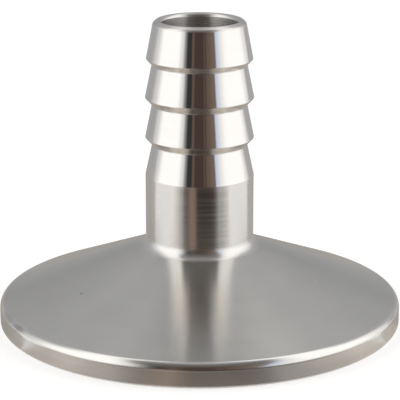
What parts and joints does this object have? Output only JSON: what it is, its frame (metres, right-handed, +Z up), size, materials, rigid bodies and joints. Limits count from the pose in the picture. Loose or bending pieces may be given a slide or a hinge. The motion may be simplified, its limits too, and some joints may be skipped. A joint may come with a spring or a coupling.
{
  "type": "tri-clamp hose barb",
  "caption": "Stainless sanitary clamp ferrule turned in one piece with a barbed hose spigot and a straight through bore.",
  "frame": {"origin": "centre of the bore on the sealing face of the ferrule, which is the face it stands on", "axes": "+Z runs up the bore from the sealing face to the mouth of the hose spigot; the part is round about Z, so X and Y are free"},
  "size_m": [0.0506, 0.0506, 0.0383],
  "materials": {
    "stainless_steel": "satin on the flange, fine turning lines on the neck, polished on the barbs"
  },
  "bodies": {
    "root": {"hose_barb": "stainless_steel"}
  },
  "joints": []
}
